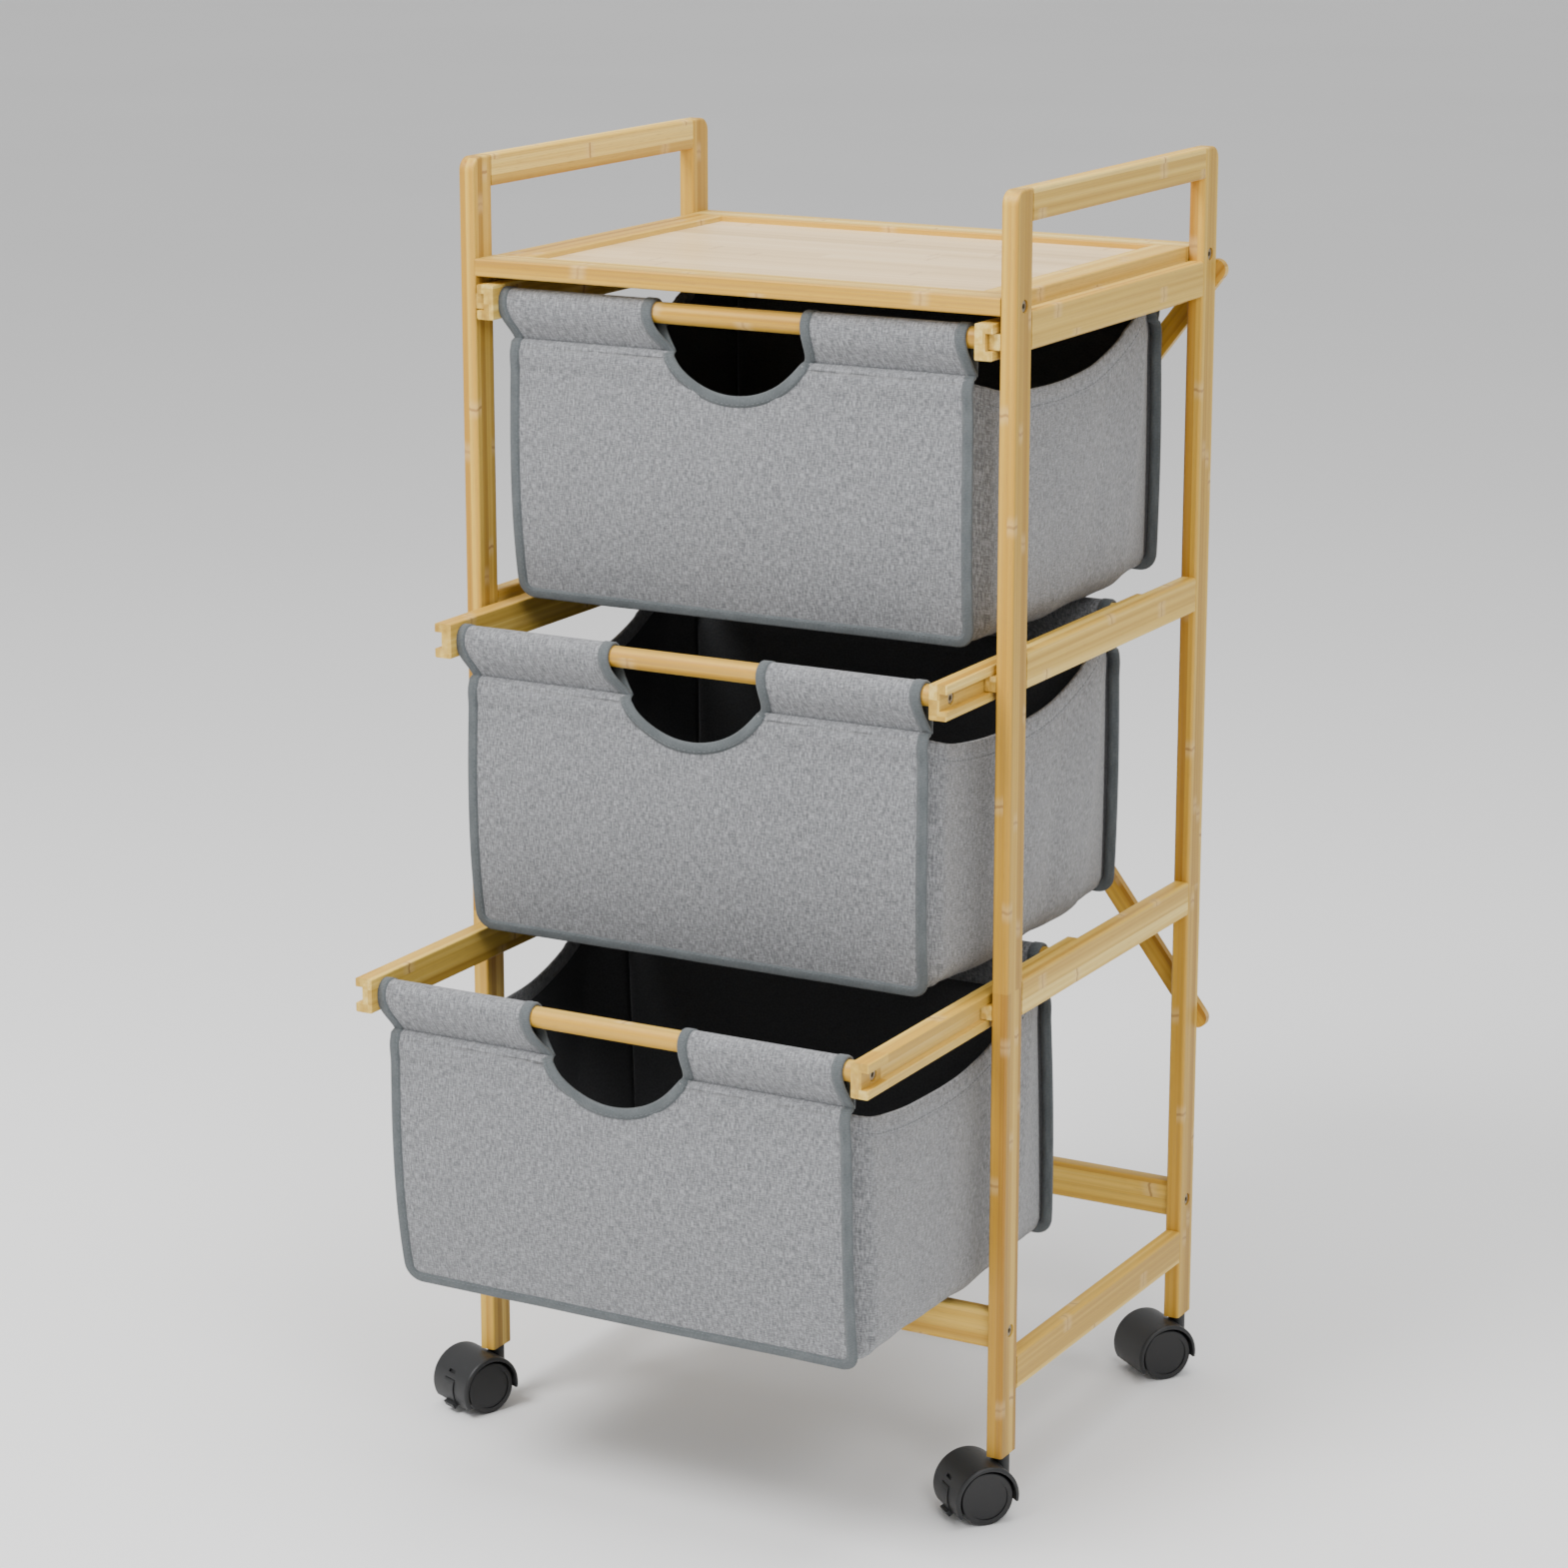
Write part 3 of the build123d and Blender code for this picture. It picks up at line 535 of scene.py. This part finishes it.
# ---------------------------------------------------------------- one bag
def hang_rows(end):
    """The rows of a panel with its sleeve, from the sleeve's inner edge over the dowel and down: each as
    (out, up), its normal, its length along the cloth, and which row is the first on the outer side."""
    scoop_turns = np.radians(np.linspace(0, 90, 19))
    drop = np.r_[SCOOP_DEEP * np.sin(scoop_turns), SEAM + np.linspace(-5, 4, 13) * MM,
                 np.linspace(SCOOP_DEEP, FLOOR - CORNER, 25)[1:],
                 FLOOR - CORNER + CORNER * np.sin(np.radians(np.linspace(0, 90, 8)[1:]))]
    drop = np.unique(drop.round(5))
    outer = np.c_[through(HANG[end], drop), -drop]
    radius = outer[0, 0]
    over = np.radians(np.linspace(180, 0, 15)[1:-1])
    arc = np.c_[radius * np.cos(over), radius * np.sin(over)]
    back_drop = SCOOP_DEEP * np.sin(scoop_turns[:7])[::-1]
    seam_out = through(HANG[end], np.array([SEAM]))[0] - 1.6 * WEAVE
    blend = ease(back_drop / SEAM)
    inner = np.c_[-radius * (1 - blend) + seam_out * blend, -back_drop]
    line = np.r_[inner, arc, outer]
    tangent = np.gradient(line, axis=0)
    tangent /= np.hypot(*tangent.T)[:, None]
    return line, np.c_[-tangent[:, 1], tangent[:, 0]], way_along(line), len(inner) + len(arc)


def half_width(up):
    """Half the panel's width at a height: straight, with round bottom corners."""
    above_floor = np.clip(up + FLOOR, 0, CORNER)
    corner = CORNER - np.sqrt(np.maximum(CORNER**2 - (CORNER - above_floor)**2, 0))
    sleeve = SLEEVE_SPREAD * ease((up + SEAM) / (0.8 * SEAM))
    sides = HALF_WIDE + 1.5 * MM * np.sin(pi * np.clip(-up / FLOOR, 0, 1)) + sleeve
    return sides - corner


def panel_bulge(across, up, seed, fill):
    """How far a front or back panel swells outwards and creases."""
    middle = np.clip(1 - (across / HALF_WIDE)**2, 0, 1)
    below_seam = ease((-up - SEAM) / (60 * MM))
    swell = 4.5 * MM * fill * middle * np.sin(pi * np.clip((-up - SEAM) / (FLOOR - SEAM), 0, 1))
    creases = 1.3 * MM * ripple(across * 9, up * 7, seed) * below_seam * (0.35 + 0.65 * middle)
    pucker = 0.35 * MM * ripple(across * 70, up * 10, seed + 5) * np.exp(-((up + SEAM) / (9 * MM))**2)
    return swell + creases + pucker


def hung_panel(drawer, end, side_y, scoop):
    """A front or back panel with the sleeve that it hangs by, its bindings and its stitches."""
    shape = BAGS[drawer]
    dowel = middle_of(f"{drawer}_{end}_dowel")
    line, normals, way, first_outer = hang_rows(end)
    count = len(line)
    up = line[:, 1]
    on_back = np.arange(count) < first_outer
    wide = half_width(up)
    opening = SCOOP_WIDE * np.sqrt(1 - np.clip(-up / SCOOP_DEEP, 0, 1)**2) * scoop
    shift = SLEEVE_SHIFT * ease((up + SEAM) / SEAM) - shape["lean"] * np.minimum(up + SEAM, 0)
    columns = 30
    t = np.linspace(0, 1, columns)
    grids = []
    for side in (-1, 1):
        across = side * (wide[:, None] + (opening - wide)[:, None] * t)
        heights = np.broadcast_to(up[:, None], across.shape)
        bulge = panel_bulge(across, heights, shape["seed"] + side_y, shape["fill"]) * ~on_back[:, None]
        out = line[:, :1] + bulge * normals[:, :1]
        high = line[:, 1:] + bulge * normals[:, 1:] * 0.5
        places = np.stack([dowel.x + shift[:, None] + across, dowel.y + side_y * out, dowel.z + high], -1)
        cut = np.stack([across, np.broadcast_to(way[:, None], across.shape)], -1)
        grids.append((places, cut))
    (left, left_cut), (right, right_cut) = grids
    places = np.concatenate([left, right[:, ::-1]], 1)
    cut = np.concatenate([left_cut, right_cut[:, ::-1]], 1)
    keep = np.ones((count - 1, 2 * columns - 1), bool)
    keep[:, columns - 1] = False
    if side_y < 0:
        places, cut, keep = places[:, ::-1], cut[:, ::-1], keep[:, ::-1]
    panel = sheet_object(f"{drawer}_bag_{end}_panel", places, cut, [CLOTH, LINING_AND_SHADE], keep=keep)

    normal = np.stack([0 * up, side_y * normals[:, 0], normals[:, 1]], -1)
    outline = np.r_[left[:, 0], left[-1, 1:], right[-1, ::-1][1:], right[::-1, 0][1:]]
    outline_normal = np.r_[normal, np.repeat(normal[-1:], len(outline) - 2 * count, 0), normal[::-1]]
    made = [bind(f"{drawer}_bag_{end}_binding", outline, outline_normal, 1)]
    rows = [inset_row(outline, outline_normal, 1)]
    if scoop:
        bottom = int(np.argmax(-up >= SCOOP_DEEP - 1e-6))
        mouth = np.r_[left[:bottom + 1, -1], right[:bottom, -1][::-1]]
        mouth_normal = np.r_[normal[:bottom + 1], normal[:bottom][::-1]]
        made.append(bind(f"{drawer}_bag_scoop_binding", mouth, mouth_normal, -1))
        rows.append(inset_row(mouth, mouth_normal, -1))
    seam_row = first_outer + int(np.argmin(abs(up[first_outer:] + SEAM)))
    lift = normal[seam_row] * (WEAVE / 2)
    for grid in (left, right):
        seam_line = grid[seam_row, 2:-1 if scoop else None] + lift
        rows.append((seam_line, np.repeat(normal[seam_row:seam_row + 1], len(seam_line), 0)))
    made.append(stitches(f"{drawer}_bag_{end}_stitches", rows))
    for piece in made:
        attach(piece, f"{drawer}_drawer")
    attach(panel, f"{drawer}_drawer")
    area = float(np.sum((wide - opening)[1:] * np.diff(way)) * 2)
    return panel


def even_path(path, normal, step=3 * MM):
    """The same path with points a few millimetres apart."""
    keep = np.r_[True, np.linalg.norm(np.diff(path, axis=0), axis=1) > 1e-6]
    path, normal = path[keep], normal[keep]
    way = way_along(path)
    at = np.linspace(0, way[-1], int(way[-1] / step) + 2)
    path, normal = points_at(at, way, path), points_at(at, way, normal)
    normal /= np.linalg.norm(normal, axis=1)[:, None]
    return path, normal


def edge_frame(path, normal, turn):
    """An edge of a sheet in even steps, with its normals and the unit vectors that point out of the sheet
    in its own surface. turn is 1 round the outside of a panel and -1 round an opening in it."""
    path, normal = even_path(path, normal)
    facing = turn * np.sign(normal[len(normal) // 2, 1]) or 1
    tangent = np.gradient(path, axis=0)
    tangent /= np.maximum(np.linalg.norm(tangent, axis=1), 1e-9)[:, None]
    outward = np.cross(normal, tangent) * facing
    outward /= np.linalg.norm(outward, axis=1)[:, None]
    return path, normal, outward


def bind(name, path, normal, turn):
    """Binding tape folded over one edge of a panel."""
    path, normal, outward = edge_frame(path, normal, turn)
    inner = TAPE_OVERHANG - TAPE_WIDE
    return sweep(name, path, outward, normal, TAPE, inner, TAPE_OVERHANG, TAPE_HALF)


def inset_row(path, normal, turn):
    """A row of stitches near an edge, on the tape's outer face."""
    path, normal, outward = edge_frame(path, normal, turn)
    return path - outward * STITCH_INSET + normal * TAPE_HALF, normal


def side_middle(side_share):
    """0 at the hems, 1 where the sides turn into the floor and on the floor."""
    return ease(np.minimum(side_share, 1 - side_share) / 0.27)


def gusset_places(drawer, side_share, back_share):
    """Points of the strip that makes the sides and floor. side_share runs from the left hem, at 0, down,
    across the floor and up to the right hem, at 1. back_share runs from the front seam, at 0, to the back
    one, at 1."""
    shape = BAGS[drawer]
    front = middle_of(f"{drawer}_front_dowel")
    back = middle_of(f"{drawer}_back_dowel")
    span = back.y - front.y
    plateau = ease(back_share / 0.12) * ease((1 - back_share) / 0.17)
    hem = -through(HEM_LINE, back_share * span)
    floor = -(FLOOR - 1.5 * MM) - shape["sag"] * plateau * np.sin(pi * back_share)**0.5
    corner = 9 * MM + 16 * MM * plateau
    # the sides swell out just behind the front seam, and turn in again over the last 34 to 64 mm before
    # the back one
    ridge = np.clip((1 - back_share) * span / (34 * MM + 30 * MM * side_middle(side_share)), 0, 1)
    fullness = ease(back_share / 0.07) * ridge
    half = HALF_WIDE - TAPE_WIDE - 1 * MM + 12.5 * MM * fullness
    tall = hem - floor - corner
    quarter = corner * pi / 2
    girth = 2 * (tall + quarter + half - corner)
    at = side_share * girth
    side = np.where(at < girth / 2, -1, 1)
    at = np.minimum(at, girth - at)
    on_side = at < tall
    on_corner = (at >= tall) & (at < tall + quarter)
    turn = np.clip((at - tall) / corner, 0, pi / 2)
    on_floor = half - corner - (at - tall - quarter)
    across = np.where(on_side, half, np.where(on_corner, half - corner + corner * np.cos(turn), on_floor))
    up = np.where(on_side, hem - at, np.where(on_corner, floor + corner - corner * np.sin(turn), floor))
    normal_across = np.where(on_side, 1, np.where(on_corner, np.cos(turn), 0))
    normal_up = -np.where(on_side, 0, np.where(on_corner, np.sin(turn), 1))
    depth = np.clip((hem - up) / (hem - floor), 0, 1)
    pattern = at * side
    creases = (3.2 * MM * ripple(back_share * span * 11, pattern * 4.5, shape["seed"] + 40)
               + 1.1 * MM * ripple(back_share * span * 30, pattern * 9, shape["seed"] + 60))
    swell = fullness * shape["fill"] * 2.6 * MM * np.sin(pi * depth**0.8)
    slack = plateau * (0.35 + 0.65 * ease(depth * 3)) * np.where(normal_across > 0.1, 1, 0.5)
    push = swell * (normal_across > 0.2) + creases * slack
    across = across + push * normal_across
    up = np.maximum(up + push * normal_up, floor - 1 * MM)
    front_y = front.y - through(HANG["front"], np.clip(-up, 0, FLOOR)) + WEAVE
    back_y = back.y + through(HANG["back"], np.clip(-up, 0, FLOOR)) - WEAVE
    y = front_y + (back_y - front_y) * back_share
    lean = -shape["lean"] * np.minimum(up + SEAM, 0)
    x = front.x + lean + side * across
    places = np.stack([x, y, front.z + up], -1)
    return places, np.stack([back_share * span + 0.7, at * side], -1), girth


def gusset(drawer):
    """The one strip of cloth that makes a bag's two sides and its floor, with its hems."""
    side_share, back_share = np.meshgrid(np.linspace(0, 1, 121), BACK_STEPS, indexing="ij")
    places, cut, girth = gusset_places(drawer, side_share, back_share)
    strip = sheet_object(f"{drawer}_bag_sides_and_floor", places, cut, [CLOTH, LINING_AND_SHADE])
    hems, rows_of_stitches = [], []
    for side_name, side in SIDES.items():
        hem, stitch_row = hem_band(drawer, side_name, side, girth)
        hems.append(hem)
        rows_of_stitches.append(stitch_row)
    hems.append(stitches(f"{drawer}_bag_hem_stitches", rows_of_stitches))
    for piece in hems:
        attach(piece, f"{drawer}_drawer")
    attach(strip, f"{drawer}_drawer")
    steps = np.diff(places, axis=1)
    deep = float(np.linalg.norm(steps, axis=2).sum(1).mean())
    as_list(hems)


def hem_band(drawer, side_name, side, girth):
    """The folded hem at the top of one side, a doubled band that is round at its upper edge, and the line
    of its stitches. side is -1 on the left and 1 on the right."""
    long = girth[0]
    deep = np.array([HEM_BAND, HEM_BAND * 0.97, HEM_BAND * 0.5, 1.0 * MM, 0.2 * MM])
    depths = np.r_[deep, deep[::-1]]
    out = np.array([0.45, 1.0, 1.05, 1.0, 0.5, -0.5, -1.0, -1.05, -1.0, -0.45]) * WEAVE * 1.05
    share = depths[:, None] / long[None, :]
    if side > 0:
        share = 1 - share
    places = gusset_places(drawer, share, np.broadcast_to(BACK_STEPS, share.shape))[0]
    places[..., 0] += side * out[:, None]
    places[3:7, :, 2] += np.array([0.0, 0.5, 0.5, 0.0])[:, None] * MM
    girths = np.broadcast_to(depths[:, None] + out[:, None], share.shape)
    cut = np.stack([np.broadcast_to(BACK_STEPS * 0.3, share.shape), girths], -1)
    if side < 0:
        places, cut = places[:, ::-1], cut[:, ::-1]
    band = sheet_object(f"{drawer}_bag_{side_name}_hem", places, cut, [CLOTH], thickness=0)
    stitch_share = (HEM_BAND - 2 * MM) / long
    if side > 0:
        stitch_share = 1 - stitch_share
    line = gusset_places(drawer, stitch_share, BACK_STEPS)[0][1:-1]
    line[:, 0] += side * 1.2 * WEAVE
    return band, (line, np.tile([side, 0.0, 0.0], (len(line), 1)))


for drawer_name in DRAWERS:
    front_panel = hung_panel(drawer_name, "front", -1, True)
    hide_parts(f"{drawer_name}_bag")
    hung_panel(drawer_name, "back", 1, False)
    gusset(drawer_name)


# ---------------------------------------------------------------- floor, light and camera
def make_floor():
    """A plain floor that reaches far behind the sorter."""
    mesh = bpy.data.meshes.new("floor")
    reach = 40.0
    corners = [(-reach, -reach, 0), (reach, -reach, 0), (reach, reach, 0), (-reach, reach, 0)]
    mesh.from_pydata(corners, [], [(0, 1, 2, 3)])
    mesh.materials.append(pale_floor())
    floor = bpy.data.objects.new("floor", mesh)
    bpy.context.scene.collection.objects.link(floor)


def softbox(name, place, aim, wide, tall, power):
    """A rectangular area light that faces aim."""
    light = bpy.data.lights.new(name, "AREA")
    light.shape = "RECTANGLE"
    light.size, light.size_y = wide, tall
    light.energy = power
    lamp = bpy.data.objects.new(name, light)
    lamp.location = place
    lamp.rotation_euler = (Vector(aim) - Vector(place)).to_track_quat("-Z", "Y").to_euler()
    bpy.context.scene.collection.objects.link(lamp)


def make_light():
    """An even white surround and three softboxes."""
    world = bpy.data.worlds.new("studio")
    world.use_nodes = True
    background = world.node_tree.nodes["Background"]
    background.inputs["Color"].default_value = (1.0, 1.0, 1.0, 1)
    background.inputs["Strength"].default_value = 0.8
    bpy.context.scene.world = world
    middle = (stand_middle.x, stand_middle.y, 0.45)
    softbox("key", (-0.8, -2.0, 3.1), middle, 1.3, 1.3, 120)
    softbox("fill", (2.1, -2.0, 2.5), middle, 1.1, 1.1, 43)
    softbox("overhead", (0.3, 0.1, 3.3), middle, 2.2, 2.2, 70)


def make_camera():
    """The camera, by its direction and distance from a point near the sorter's middle."""
    azimuth, elevation, distance = radians(28.9), radians(14.43), 3.208
    aim = Vector((stand_middle.x - 0.0488, stand_middle.y, 0.4705))
    back = Vector((sin(azimuth) * cos(elevation), -cos(azimuth) * cos(elevation), sin(elevation)))
    lens = bpy.data.cameras.new("camera")
    lens.lens = 98.3
    camera = bpy.data.objects.new("camera", lens)
    camera.location = aim + back * distance
    camera.rotation_euler = (-back).to_track_quat("-Z", "Y").to_euler()
    bpy.context.scene.collection.objects.link(camera)
    bpy.context.scene.camera = camera


make_floor()
make_light()
make_camera()
